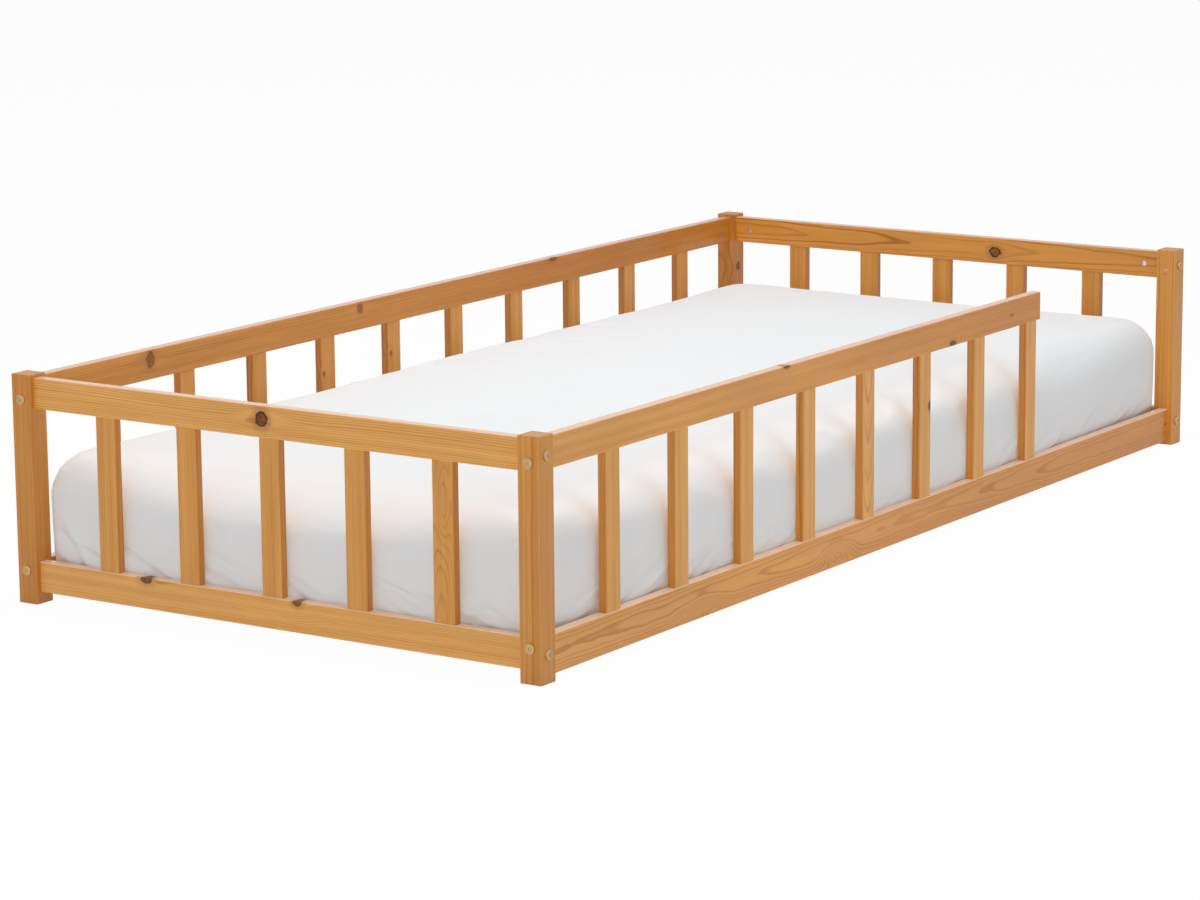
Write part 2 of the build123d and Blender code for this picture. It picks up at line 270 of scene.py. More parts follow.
class BedLinenSettings(bpy.types.PropertyGroup):
    """The mattress and its fitted sheet."""

    sheet_colour: colour_value("Sheet", "White cotton jersey of the fitted sheet", (0.785, 0.80, 0.812))
    ticking_colour: colour_value("Ticking", "Woven cover of the mattress", (0.70, 0.68, 0.62))
    weave_gap: length_value("Weave gap", "Distance between two threads of the ticking", 0.0012)
    knit_gap: length_value("Knit gap", "Distance between two ribs of the jersey", 0.0009)
    knit_height: length_value("Knit height", "How far the ribs of the jersey stand out", 0.00002)
    mattress_length: length_value("Mattress length", "Length of the mattress without its belly", 2.0)
    mattress_width: length_value("Mattress width", "Width of the mattress without its belly", 0.9)
    corner_round: length_value("Corner round", "How far the top edge rounds in at a corner", 0.032)
    corner_drop: length_value("Corner drop", "How far the top edge drops at a corner", 0.046)
    corner_fullness: length_value("Corner fullness", "How far the upright corners stand out", 0.0034)
    hem_fullness: length_value("Hem fullness", "How far the lower edge stands out above the hem", 0.0075)
    mesh_step: length_value("Cloth step", "Size of the cloth's faces before they are divided", 0.013)
    hem_reach: length_value("Hem reach", "How far the sheet is turned under the mattress", 0.090)
    sheet_gap: length_value("Sheet gap", "How far the sheet stands off the mattress's form", 0.0012)
    ticking_gap: length_value("Ticking gap", "How far the mattress stays inside its own form", 0.0025)
    hem_shrink: share_value("Hem shrink", "How much shorter the elastic makes the hem", 0.10)
    settle_frames: IntProperty(name="Settling", description="Frames for which the cloth settles", default=20)
    settle_cap: length_value("Settling cap", "How far settling may move the cloth", 0.006)


class BedStageSettings(bpy.types.PropertyGroup):
    """The floor, the light and the camera."""

    floor_colour: colour_value("Floor", "Pale floor", (0.88, 0.88, 0.88))
    floor_glow: share_value("Floor glow", "Share of plain white in the floor that the camera sees", 0.97)
    world_light: FloatProperty(name="Room light", description="Even light of the room", default=0.20)
    top_power: watt_value("Top light", "Power of the light overhead", 66.0)
    foot_power: watt_value("Foot fill", "Power of the soft fill on the foot's side", 102.0)
    front_power: watt_value("Front fill", "Power of the soft fill on the open side", 86.0)
    rear_power: watt_value("Rear fill", "Power of the soft fill behind the bed", 34.0)
    camera_azimuth: angle_value("Camera azimuth", "Turn of the view", -56.34523)
    camera_elevation: angle_value("Camera elevation", "Height of the view", 11.32916)
    camera_roll: angle_value("Camera roll", "Roll of the view", -0.47795)
    camera_place: FloatVectorProperty(
        name="Camera place",
        description="Where the camera stands",
        default=(-5.52087, -3.57519, 1.43002),
        subtype="TRANSLATION",
    )
    camera_lens: FloatProperty(
        name="Camera lens", description="Focal length in millimetres on a 36 mm sensor", default=119.504
    )


class Finish:
    """A material that is built up from shader nodes."""

    def __init__(self, name):
        self.material = bpy.data.materials.new(name)
        self.material.use_nodes = True
        self.tree = self.material.node_tree
        self.tree.nodes.clear()
        self.shader = self.tree.nodes.new("ShaderNodeBsdfPrincipled")
        self.output = self.tree.nodes.new("ShaderNodeOutputMaterial")
        self.tree.links.new(self.shader.outputs[0], self.output.inputs["Surface"])

    def feed(self, socket, value):
        """Link a socket to another one, or give it a plain value."""
        if isinstance(value, bpy.types.NodeSocket):
            self.tree.links.new(value, socket)
        elif value is not None:
            socket.default_value = value

    def node(self, kind, *values, **settings):
        """Add a node, set its options and feed its first sockets in order."""
        node = self.tree.nodes.new(kind)
        for key, value in settings.items():
            setattr(node, key, value)
        for socket, value in zip(node.inputs, values):
            self.feed(socket, value)
        return node

    def math(self, operation, a, b=None, c=None, clamp=False):
        return self.node("ShaderNodeMath", a, b, c, operation=operation, use_clamp=clamp).outputs[0]

    def vector(self, operation, a, b=None, c=None):
        return self.node("ShaderNodeVectorMath", a, b, c, operation=operation).outputs[0]

    def object_place(self):
        """The place on the piece, and its three coordinates."""
        place = self.node("ShaderNodeTexCoord").outputs["Object"]
        return place, list(self.node("ShaderNodeSeparateXYZ", place).outputs)

    def combine(self, x, y, z):
        return self.node("ShaderNodeCombineXYZ", x, y, z).outputs[0]

    def noise(self, place, stretch, shift, detail=2.0):
        """Noise from 0 to 1 on a place stretched along each axis."""
        moved = self.vector("MULTIPLY_ADD", place, stretch, shift)
        node = self.node("ShaderNodeTexNoise")
        self.feed(node.inputs["Vector"], moved)
        node.inputs["Scale"].default_value = 1.0
        node.inputs["Detail"].default_value = detail
        return node.outputs[0]

    def remap(self, value, low, high, to_low=0.0, to_high=1.0, kind="SMOOTHSTEP"):
        """A value from one range carried over to another, and held at its ends."""
        node = self.node("ShaderNodeMapRange", value, low, high, to_low, to_high, interpolation_type=kind)
        return node.outputs[0]

    def square_sum(self, a, b):
        """The sum of two squares."""
        return self.math("MULTIPLY_ADD", b, b, self.math("MULTIPLY", a, a))

    def bell(self, square):
        """A bell curve from 1 at nothing, on a square."""
        return self.math("EXPONENT", self.math("MULTIPLY", square, -1.0))

    def mix(self, share, a, b, blend="MIX"):
        """Mix two colours by a share."""
        node = self.node("ShaderNodeMix", data_type="RGBA", blend_type=blend)
        self.feed(node.inputs[0], share)
        for socket, value in ((node.inputs[6], a), (node.inputs[7], b)):
            self.feed(socket, value if isinstance(value, bpy.types.NodeSocket) else (*value, 1.0))
        return node.outputs[2]

    def shade(self, colour, factor):
        """Multiply a colour by a grey factor."""
        return self.mix(1.0, colour, self.combine(factor, factor, factor), "MULTIPLY")

    def bump(self, height, strength, distance):
        """Raise and lower the shading by a height."""
        node = self.node("ShaderNodeBump")
        node.inputs["Strength"].default_value = strength
        node.inputs["Distance"].default_value = distance
        self.feed(node.inputs["Height"], height)
        self.feed(self.shader.inputs["Normal"], node.outputs[0])

    def set(self, **values):
        """Set or link the shader's own sockets by name."""
        for name, value in values.items():
            self.feed(self.shader.inputs[name.replace("_", " ")], value)

    def put_on(self, node_name):
        """Dress a CAD node in this finish."""
        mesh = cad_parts[node_name].data
        mesh.materials.clear()
        mesh.materials.append(self.material)


class PineFinish(Finish):
    """Pine with rings, fibres, knots, tints and painted light of its own for one board.

    stain is how many coats deep the colour is, real staining and painted shade together, and one coat gives
    the colours as they are.
    Without a stain the board is bare pine, with no lacquer on it.
    """

    # How often each kind of noise varies in a metre along, across and through the board
    slow_wave = (2.2, 9.0, 9.0)
    quick_wave = (14.0, 40.0, 40.0)
    fibre_wave = (16.0, 900.0, 900.0)
    streak_wave = (1.6, 110.0, 110.0)
    blotch_wave = (4.0, 22.0, 22.0)
    knot_rim_wave = (150.0, 190.0, 190.0)
    knot_heart_wave = (420.0, 300.0, 300.0)

    # What one more coat leaves of the light, as staining and as painted shade alike
    coat_light = 0.72

    # Where the rings' middle may lie from the board's, how far it may lean, and how much the rings waver
    ring_across = (0.045, 0.090)
    ring_depth = (0.015, 0.055)
    ring_lean = 0.006
    quick_size = 0.0016

    # One ring's line: where it is full, where it ends, how faint it may be and how uneven the rings are
    line_full = 0.91
    line_end = 0.93
    line_faintest = 0.35
    ring_gap_spread = (0.8, 1.25)
    ring_uneven_wave = (0.35, 1.0, 1.0)
    ring_uneven = 1.4

    # How pale the wood starts, and how much fibres and blotches show in its colour
    pale_shift = 0.06
    fibre_share = 0.55
    blotch_share = 0.30
    blotch_low = 0.85

    # Bands along the edges, the faces and the cut ends, as where they start and are full, in metres,
    # and how they change the colour
    edge_band = (0.0022, 0.0004)
    face_band = (0.0016, 0.0004)
    end_band = (0.0009, 0.0002)
    # How much lighter the rounded edges are, as painted highlight and rubbed staining together
    edge_highlight_and_rubbing = 0.12
    end_darker = 0.22
    narrow_share = 0.9
    narrow_tint = (0.74, 0.62, 0.47)
    # The tint of the painted shade on a rail's far end
    painted_shade_tint = (0.82, 0.63, 0.40)

    # A knot's parts in its own half sizes: how far it bends the rings, how it tapers through the board,
    # how ragged it is, where its halo, heart and rim begin and end, how strong they are and their colours
    bend_reach = 2.4
    bend_width = 1.25
    knot_taper = 2.2
    knot_ragged = 0.7
    halo_band = (0.9, 2.3)
    halo_share = 0.50
    halo_colour = (0.30, 0.115, 0.028)
    heart_band = (0.85, 1.05)
    heart_share = 1.2
    heart_tones = (0.3, 0.7, 0.45, 1.3)
    rim_place = 0.86
    rim_band = (0.04, 0.24)
    rim_share = 0.85
    rim_colour = (0.030, 0.009, 0.003)

    # The lacquer, which is thinner on cut ends and knots, and the bare wood under it
    coat_weight = 0.60
    coat_thinner = 0.35
    wood_gloss = 0.05
    lacquered_roughness = 0.46
    bare_roughness = 0.66
    line_smoother = 0.08
    fibre_rougher = 0.08
    line_relief = 0.6
    lacquered_relief = 0.10
    bare_relief = 0.25
    relief_height = 0.0004

    def __init__(self, node_name, wood, stain=None):
        super().__init__(f"pine_{node_name}")
        self.node_name = node_name
        self.wood = wood
        self.lacquered = stain is not None
        self.draw = random.Random(node_name)
        self.set_colours(stain if self.lacquered else 1.0)
        self.set_places()
        line = self.ring_line(self.ring_radius())
        fibre = self.noise(self.straight, self.fibre_wave, self.shift)
        cut = self.band(self.math("ABSOLUTE", self.along), self.half[0], self.end_band)
        coat = self.math("MULTIPLY_ADD", cut, -self.coat_thinner, self.coat_weight)
        colour = self.tint_and_paint_light(self.grain_colour(line, fibre, cut))
        colour, coat = self.add_knots(colour, coat)
        self.set(Base_Color=colour)
        rough = self.lacquered_roughness if self.lacquered else self.bare_roughness
        rough = self.math("MULTIPLY_ADD", line, -self.line_smoother, rough)
        self.set(Roughness=self.math("MULTIPLY_ADD", fibre, self.fibre_rougher, rough))
        if self.lacquered:
            self.set(Coat_Weight=self.math("MAXIMUM", coat, 0.0))
            self.set(Coat_Roughness=wood.gloss_roughness, Specular_IOR_Level=self.wood_gloss)
        relief = self.math("MULTIPLY_ADD", line, self.line_relief, fibre)
        strength = self.lacquered_relief if self.lacquered else self.bare_relief
        self.bump(relief, strength, self.relief_height)

    def set_colours(self, stain):
        """The colours of early and late wood under the stain, whose coats also carry painted shade."""
        if self.lacquered:
            tints = (self.wood.early_colour, self.wood.late_colour)
        else:
            tints = (self.wood.plain_early_colour, self.wood.plain_late_colour)
        deeper = stain * self.draw.uniform(0.97, 1.03) - 1
        light = self.coat_light**deeper
        self.early, self.late = (tuple(light * c ** (1 + deeper / 2) for c in tint) for tint in tints)

    def set_places(self):
        """The place along, across and through the board, from its longest side to its thinnest."""
        low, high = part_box(self.node_name)
        size = [b - a for a, b in zip(low, high)]
        middle = [(a + b) / 2 for a, b in zip(low, high)]
        order = sorted(range(3), key=lambda i: -round(size[i], 4))
        self.top = high[2]
        self.half = [size[i] / 2 for i in order]
        self.middle = [middle[i] for i in order]
        _, axes = self.object_place()
        self.height = axes[2]
        self.along, self.across, self.through = (self.math("SUBTRACT", axes[i], middle[i]) for i in order)
        self.straight = self.combine(self.along, self.across, self.through)
        self.shift = [self.draw.uniform(0, 50) for _ in range(3)]

    def band(self, value, edge, depths, share=1.0):
        """A share that comes in where a value nears an edge."""
        return self.remap(value, edge - depths[0], edge - depths[1], 0.0, share)

    def off_oval(self, place, side, long, wide):
        """How far along and across from an oval's middle each place is, in the oval's half sizes."""
        off_along = self.math("SUBTRACT", self.along, place - self.middle[0])
        off_across = self.math("SUBTRACT", self.across, side - self.middle[1])
        return self.math("MULTIPLY", off_along, 1 / long), self.math("MULTIPLY", off_across, 1 / wide)

    def bent_across(self):
        """The place across the board, with the rings bent round each knot."""
        bent = self.across
        for place, side, long, wide, _ in KNOTS.get(self.node_name, []):
            far_along, _ = self.off_oval(place, side, long, wide)
            near = self.math("MULTIPLY", far_along, 1 / self.bend_reach)
            near = self.bell(self.math("MULTIPLY", near, near))
            reach = self.math("MULTIPLY", near, (self.bend_width * wide) ** 2)
            off = self.math("SUBTRACT", bent, side - self.middle[1])
            left = self.math("SUBTRACT", self.math("MULTIPLY", off, off), reach)
            left = self.math("SQRT", self.math("MAXIMUM", left, 0.0))
            left = self.math("MULTIPLY", left, self.math("SIGN", off))
            bent = self.math("ADD", left, side - self.middle[1])
        return bent

    def ring_radius(self):
        """How far each place is from the line that the rings lie round, nearly along the board."""
        flat_cut = self.node_name in FLAT_CUT
        if flat_cut:
            across, depth, lean, self.gap_share = FLAT_CUT[self.node_name]
        else:
            across = self.draw.choice((-1, 1)) * self.draw.uniform(*self.ring_across)
            depth = self.draw.choice((-1, 1)) * self.draw.uniform(*self.ring_depth)
            lean = self.draw.uniform(-self.ring_lean, self.ring_lean)
            self.gap_share = 1.0

        # A flat cut shows calmer rings with thinner lines and fewer streaks.
        slow_size = 0.004 if flat_cut else 0.010
        self.line_start = 0.62 if flat_cut else 0.50
        self.streaks = 0.55 if flat_cut else 1.0
        off_across = self.math("SUBTRACT", self.bent_across(), across)
        off_through = self.math("SUBTRACT", self.through, depth)
        off_through = self.math("MULTIPLY_ADD", self.along, -lean, off_through)
        radius = self.math("SQRT", self.square_sum(off_across, off_through))
        slow = self.noise(self.straight, self.slow_wave, self.shift, 1.0)
        radius = self.math("MULTIPLY_ADD", slow, slow_size, radius)
        quick = self.noise(self.straight, self.quick_wave, self.shift, 1.0)
        radius = self.math("MULTIPLY_ADD", quick, self.quick_size, radius)
        for *oval, rise in SWIRLS.get(self.node_name, []):
            swirl = self.bell(self.square_sum(*self.off_oval(*oval)))
            radius = self.math("MULTIPLY_ADD", swirl, rise, radius)
        return radius

    def ring_line(self, radius):
        """How much late wood shows: each ring darkens towards its late wood and starts light again."""
        gap = self.wood.ring_gap * self.gap_share * self.draw.uniform(*self.ring_gap_spread)
        phase = self.math("MULTIPLY_ADD", radius, 1 / gap, self.draw.uniform(0, 1))
        uneven = self.noise(self.combine(phase, 0.0, 0.0), self.ring_uneven_wave, self.shift, 1.0)
        phase = self.math("MULTIPLY_ADD", uneven, self.ring_uneven, phase)
        ring = self.math("FRACT", phase)
        each = self.node("ShaderNodeTexWhiteNoise", noise_dimensions="1D")
        self.feed(each.inputs["W"], self.math("FLOOR", phase))
        rising = self.remap(ring, self.line_start, self.line_full)
        falling = self.remap(ring, self.line_end, 1.0, 1.0, 0.0)
        strength = self.remap(each.outputs["Value"], 0.0, 1.0, self.line_faintest, 1.0, "LINEAR")
        return self.math("MULTIPLY", self.math("MULTIPLY", rising, falling), strength)

    def grain_colour(self, line, fibre, cut):
        """The colour of rings, streaks and fibres, lighter on the rounded edges as painted highlight and
        rubbed staining, and darker on cut ends.
        """
        streak = self.noise(self.straight, self.streak_wave, self.shift)
        blotch = self.noise(self.straight, self.blotch_wave, self.shift)
        lined = next(share for kind, share in RING_CONTRAST.items() if kind in self.node_name)
        depth = self.math("MULTIPLY_ADD", line, lined, -self.pale_shift - self.streaks / 2)
        depth = self.math("MULTIPLY_ADD", streak, self.streaks, depth)
        depth = self.math("MULTIPLY_ADD", fibre, self.fibre_share, depth, clamp=True)
        tone = self.math("MULTIPLY_ADD", blotch, self.blotch_share, self.blotch_low)
        # Painted highlight and rubbed staining: the rounded edges are made lighter.
        highlight_and_rubbing = [
            self.band(self.math("ABSOLUTE", value), edge, self.edge_band)
            for value, edge in ((self.across, self.half[1]), (self.through, self.half[2]))
        ]
        tone = self.math("MULTIPLY_ADD", self.math("MULTIPLY", *highlight_and_rubbing), self.edge_highlight_and_rubbing, tone)
        tone = self.math("MULTIPLY_ADD", cut, -self.end_darker, tone)
        return self.shade(self.mix(depth, self.early, self.late), tone)

    def tint_and_paint_light(self, colour):
        """Darker narrow sides on a slat, painted shade on a rail's far end and a painted highlight on a
        rail's upper face.
        """
        # A slat is darker towards its narrow sides.
        if "_slat_" in self.node_name and self.lacquered:
            across = self.math("ABSOLUTE", self.across)
            narrow = self.band(across, self.half[1], self.face_band, self.narrow_share)
            colour = self.mix(narrow, colour, self.narrow_tint, "MULTIPLY")
        # Painted shade: the rail darkens towards its far end, where the light falls off.
        if self.node_name in PAINTED_SHADE_ENDS:
            shares = PAINTED_SHADE_ENDS[self.node_name]
            painted_shade = self.remap(self.along, -self.half[0], self.half[0], *shares, "LINEAR")
            colour = self.mix(painted_shade, colour, self.painted_shade_tint, "MULTIPLY")

        # Painted highlight: the upper faces of the top and bottom rails are mixed towards a pale colour that
        # stands for the lacquer's reflection.
        for kind, (share, highlight_colour) in PAINTED_TOP_HIGHLIGHTS.items():
            if self.node_name.endswith(kind):
                highlight_and_rubbing = self.band(self.height, self.top, self.face_band, share)
                colour = self.mix(highlight_and_rubbing, colour, highlight_colour)
        return colour

    def add_knots(self, colour, coat):
        """Knots, each with a dark rim round a lighter heart and a stain in the wood round it."""
        for *oval, dark in KNOTS.get(self.node_name, []):
            far = self.math("SQRT", self.square_sum(*self.off_oval(*oval)))
            taper = self.remap(self.through, -self.half[2], self.half[2], 1.0, self.knot_taper, "LINEAR")
            far = self.math("MULTIPLY", far, taper)
            ragged = self.noise(self.straight, self.knot_rim_wave, self.shift)
            ragged = self.math("MULTIPLY_ADD", ragged, self.knot_ragged, -self.knot_ragged / 2)
            far = self.math("ADD", far, ragged)
            halo = self.remap(far, *self.halo_band, self.halo_share * dark, 0.0)
            heart = self.remap(far, *self.heart_band, min(1.0, self.heart_share * dark), 0.0)
            rim_off = self.math("ABSOLUTE", self.math("SUBTRACT", far, self.rim_place))
            rim = self.remap(rim_off, *self.rim_band, self.rim_share * dark**3, 0.0)
            core = self.noise(self.straight, self.knot_heart_wave, self.shift)
            heart_colour = self.shade(tuple(self.wood.knot_colour), self.remap(core, *self.heart_tones))
            colour = self.mix(halo, colour, self.halo_colour)
            colour = self.mix(heart, colour, heart_colour)
            colour = self.mix(rim, colour, self.rim_colour)
            coat = self.math("MULTIPLY_ADD", heart, -self.coat_thinner, coat)
        return colour, coat


class BED_OT_finish_posts(bpy.types.Operator):
    """Stain and lacquer the four corner posts, with painted shade in the deeper coats of the back posts"""

    bl_idname = "bed.finish_posts"
    bl_label = "Finish posts"

    def execute(self, context):
        wood = context.scene.bed_wood
        for name in POSTS:
            PineFinish(name, wood, COATS_AND_SHADE[name]).put_on(name)
        return {"FINISHED"}


class BED_OT_finish_rails(bpy.types.Operator):
    """Stain and lacquer the eight rails, with painted shade in the deeper coats of the back and head rails
    """

    bl_idname = "bed.finish_rails"
    bl_label = "Finish rails"

    def execute(self, context):
        wood = context.scene.bed_wood
        for name in RAILS:
            PineFinish(name, wood, COATS_AND_SHADE[name]).put_on(name)
        return {"FINISHED"}


class BED_OT_finish_guard_slats(bpy.types.Operator):
    """Stain and lacquer the upright guard slats, with painted shade in the deeper coats of the back and head
    slats
    """

    bl_idname = "bed.finish_guard_slats"
    bl_label = "Finish guard slats"

    def execute(self, context):
        wood = context.scene.bed_wood
        for name in GUARD_SLATS:
            side = name.split("_")[0]
            PineFinish(name, wood, SLAT_COATS_AND_SHADE[side]).put_on(name)
        return {"FINISHED"}


class BED_OT_finish_base(bpy.types.Operator):
    """Plane the base slats and cleats, which stay bare pine"""

    bl_idname = "bed.finish_base"
    bl_label = "Finish base"

    def execute(self, context):
        wood = context.scene.bed_wood
        for name in BASE_SLATS + CLEATS:
            PineFinish(name, wood).put_on(name)
        return {"FINISHED"}


class BED_OT_finish_hardware(bpy.types.Operator):
    """Finish the bolts, nuts, screws, dowels and hole caps"""

    bl_idname = "bed.finish_hardware"
    bl_label = "Finish hardware"

    def execute(self, context):
        metal = context.scene.bed_hardware
        brass = self.metal_finish("antique_brass_heads", metal.bolt_colour, roughness=0.40, patina=0.16)
        brass.put_on("connector_bolts")
        zinc = self.metal_finish("zinc_plate", metal.nut_colour, roughness=0.26, patina=0.12)
        zinc.put_on("barrel_nuts")
        zinc.put_on("wood_screws")
        self.cap_finish(metal.cap_colour).put_on("hole_caps")
        self.dowel_finish(metal.dowel_colour).put_on("rail_dowels")
        return {"FINISHED"}

    def metal_finish(self, name, tint, roughness, patina):
        """Plated metal with fine scratches and a cloudy patina."""
        finish = Finish(name)
        place, _ = finish.object_place()
        cloud = finish.noise(place, (220.0,) * 3, (3.0, 1.0, 2.0))
        scratch = finish.noise(place, (2600.0, 2600.0, 700.0), (0.0, 0.0, 0.0))
        tone = finish.math("MULTIPLY_ADD", cloud, -2 * patina, 1.0 + patina)
        finish.set(Base_Color=finish.shade(tuple(tint), tone), Metallic=1.0)
        rough = finish.math("MULTIPLY_ADD", cloud, 0.2, roughness - 0.1)
        finish.set(Roughness=finish.math("MULTIPLY_ADD", scratch, 0.1, rough))
        finish.bump(scratch, 0.08, 0.0001)
        return finish

    def cap_finish(self, tint):
        """Moulded plastic with a fine even texture."""
        finish = Finish("tan_plastic_cap")
        place, _ = finish.object_place()
        cloud = finish.noise(place, (160.0,) * 3, (5.0, 4.0, 3.0))
        grain = finish.noise(place, (3000.0,) * 3, (1.0, 2.0, 3.0))
        finish.set(Base_Color=finish.shade(tuple(tint), finish.math("MULTIPLY_ADD", cloud, 0.16, 0.92)))
        finish.set(Roughness=finish.math("MULTIPLY_ADD", grain, 0.12, 0.34))
        finish.bump(grain, 0.10, 0.0001)
        return finish

    def dowel_finish(self, tint):
        """Beech with short darker flecks."""
        finish = Finish("beech_dowels")
        place, _ = finish.object_place()
        fleck = finish.noise(place, (400.0, 400.0, 1400.0), (2.0, 7.0, 5.0))
        fleck = finish.remap(fleck, 0.55, 0.70)
        dark = tuple(0.6 * c for c in tint)
        finish.set(Base_Color=finish.mix(finish.math("MULTIPLY", fleck, 0.6), tuple(tint), dark))
        finish.set(Roughness=finish.math("MULTIPLY_ADD", fleck, 0.08, 0.6))
        finish.bump(fleck, 0.1, 0.0002)
        return finish


def only(piece):
    """Select one piece alone and make it active."""
    bpy.ops.object.select_all(action="DESELECT")
    piece.select_set(True)
    bpy.context.view_layer.objects.active = piece


def apply_modifiers(piece):
    """Apply a piece's modifiers in order."""
    only(piece)
    for name in [m.name for m in piece.modifiers]:
        bpy.ops.object.modifier_apply(modifier=name)


def outer_shell(node_name, piece_name, step):
    """A copy of a soft CAD form's outer skin, remeshed in even quads of one step."""
    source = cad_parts[node_name]
    piece = bpy.data.objects.new(piece_name, source.data.copy())
    bpy.context.scene.collection.objects.link(piece)
    piece.data.materials.clear()
    only(piece)
    bpy.ops.object.mode_set(mode="EDIT")
    bpy.ops.mesh.select_all(action="SELECT")
    bpy.ops.mesh.remove_doubles(threshold=0.00005)
    bpy.ops.mesh.select_all(action="DESELECT")
    bpy.ops.object.mode_set(mode="OBJECT")
    keep_outer_island(piece.data)
    remesh = piece.modifiers.new("even quads", "REMESH")
    remesh.mode = "VOXEL"
    remesh.voxel_size = step
    apply_modifiers(piece)
    return piece


def keep_outer_island(mesh):
    """Delete every loose part of a mesh but the one that reaches furthest to -X."""
    shape = bmesh.new()
    shape.from_mesh(mesh)
    start = min(shape.verts, key=lambda v: v.co.x)
    found = {start}
    wave = [start]
    while wave:
        vert = wave.pop()
        for edge in vert.link_edges:
            other = edge.other_vert(vert)
            if other not in found:
                found.add(other)
                wave.append(other)
    bmesh.ops.delete(shape, geom=[v for v in shape.verts if v not in found], context="VERTS")
    shape.to_mesh(mesh)
    shape.free()


def stand_off(piece, distance):
    """Move a piece's skin outwards along its normals."""
    normals = [v.normal.copy() for v in piece.data.vertices]
    for vert, normal in zip(piece.data.vertices, normals):
        vert.co += normal * distance


def ease(value, start, end):
    """A smooth step from 0 at the start to 1 at the end."""
    share = min(1.0, max(0.0, (value - start) / (end - start)))
    return share * share * (3 - 2 * share)


def fade(value, start, end):
    """A smooth step from 1 at the start to 0 at the end."""
    return 1 - ease(value, start, end)


def dressed_shell(piece_name, linen):
    """The mattress's skin with the firmer corners and the fuller sides that a fitted sheet gives it."""
    piece = outer_shell("mattress", piece_name, linen.mesh_step)
    low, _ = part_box("mattress")
    half = (linen.mattress_length / 2, linen.mattress_width / 2)
    for vert in piece.data.vertices:
        start = vert.co.copy()
        below = MATTRESS_TOP - start.z
        lift = 0.0
        for axis, way, edge_round, edge_drop, bow in MATTRESS_EDGES:
            inset = half[axis] - way * start[axis]
            along = abs(start[1 - axis]) / half[1 - axis]
            to_corner = (1 - along) * half[1 - axis]
            rise = min(1.0, max(0.0, 1 - below / edge_drop))
            slack = 1 - math.sqrt(1 - rise**2)
            firm = fade(to_corner, *CORNER_RUN) * fade(inset, edge_round, edge_round + SHOULDER_DEPTH)
            firm_push = firm * slack * max(0.0, edge_round - linen.corner_round)
            bow_level = ease(start.z, low.z - BOW_UNDER, BOW_FULL) * fade(start.z, *BOW_FALL)
            bow_push = bow * fade(inset, 0.0, BOW_DEPTH) * bow_level * (1 - along**BOW_END)
            hem = fade(start.z, *HEM_FALL) * fade(inset, 0.0, HEM_DEPTH)
            hem_push = linen.hem_fullness * hem * (1 - along**HEM_END)
            upright = fade(inset, *UPRIGHT_RUN) * fade(to_corner, *UPRIGHT_RUN)
            corner_push = linen.corner_fullness * upright
            for push in (firm_push, bow_push, hem_push, corner_push):
                vert.co[axis] += way * push
            most_lift = LIFT_SHARE * firm * (1 - rise) * (edge_drop - linen.corner_drop)
            lift += most_lift * ease(start.z, low.z, LIFT_TOP)
        vert.co.z += lift
    return piece


class BED_OT_make_mattress(bpy.types.Operator):
    """Make the mattress in woven ticking under the sheet"""

    bl_idname = "bed.make_mattress"
    bl_label = "Make mattress"

    def execute(self, context):
        linen = context.scene.bed_linen
        piece = dressed_shell("quilted_mattress", linen)
        stand_off(piece, -linen.ticking_gap)
        only(piece)
        bpy.ops.object.shade_smooth()
        piece.data.materials.append(self.ticking(linen).material)
        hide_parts("mattress")
        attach(piece, "mattress")
        return {"FINISHED"}

    def ticking(self, linen):
        """Woven ticking with a crossed thread and slightly uneven yarn."""
        finish = Finish("mattress_ticking_weave")
        place, (x, y, z) = finish.object_place()
        turn = 2 * math.pi / linen.weave_gap
        warp = finish.math("SINE", finish.math("MULTIPLY", finish.math("ADD", x, z), turn))
        weft = finish.math("SINE", finish.math("MULTIPLY", finish.math("ADD", y, z), turn))
        weave = finish.math("MULTIPLY", warp, weft)
        yarn = finish.noise(place, (500.0, 60.0, 200.0), (1.0, 5.0, 9.0))
        tone = finish.math("MULTIPLY_ADD", weave, 0.06, 0.90)
        tone = finish.math("MULTIPLY_ADD", yarn, 0.14, tone)
        finish.set(Base_Color=finish.shade(tuple(linen.ticking_colour), tone))
        finish.set(Roughness=finish.math("MULTIPLY_ADD", yarn, 0.1, 0.82))
        finish.bump(weave, 0.3, 0.0003)
        return finish


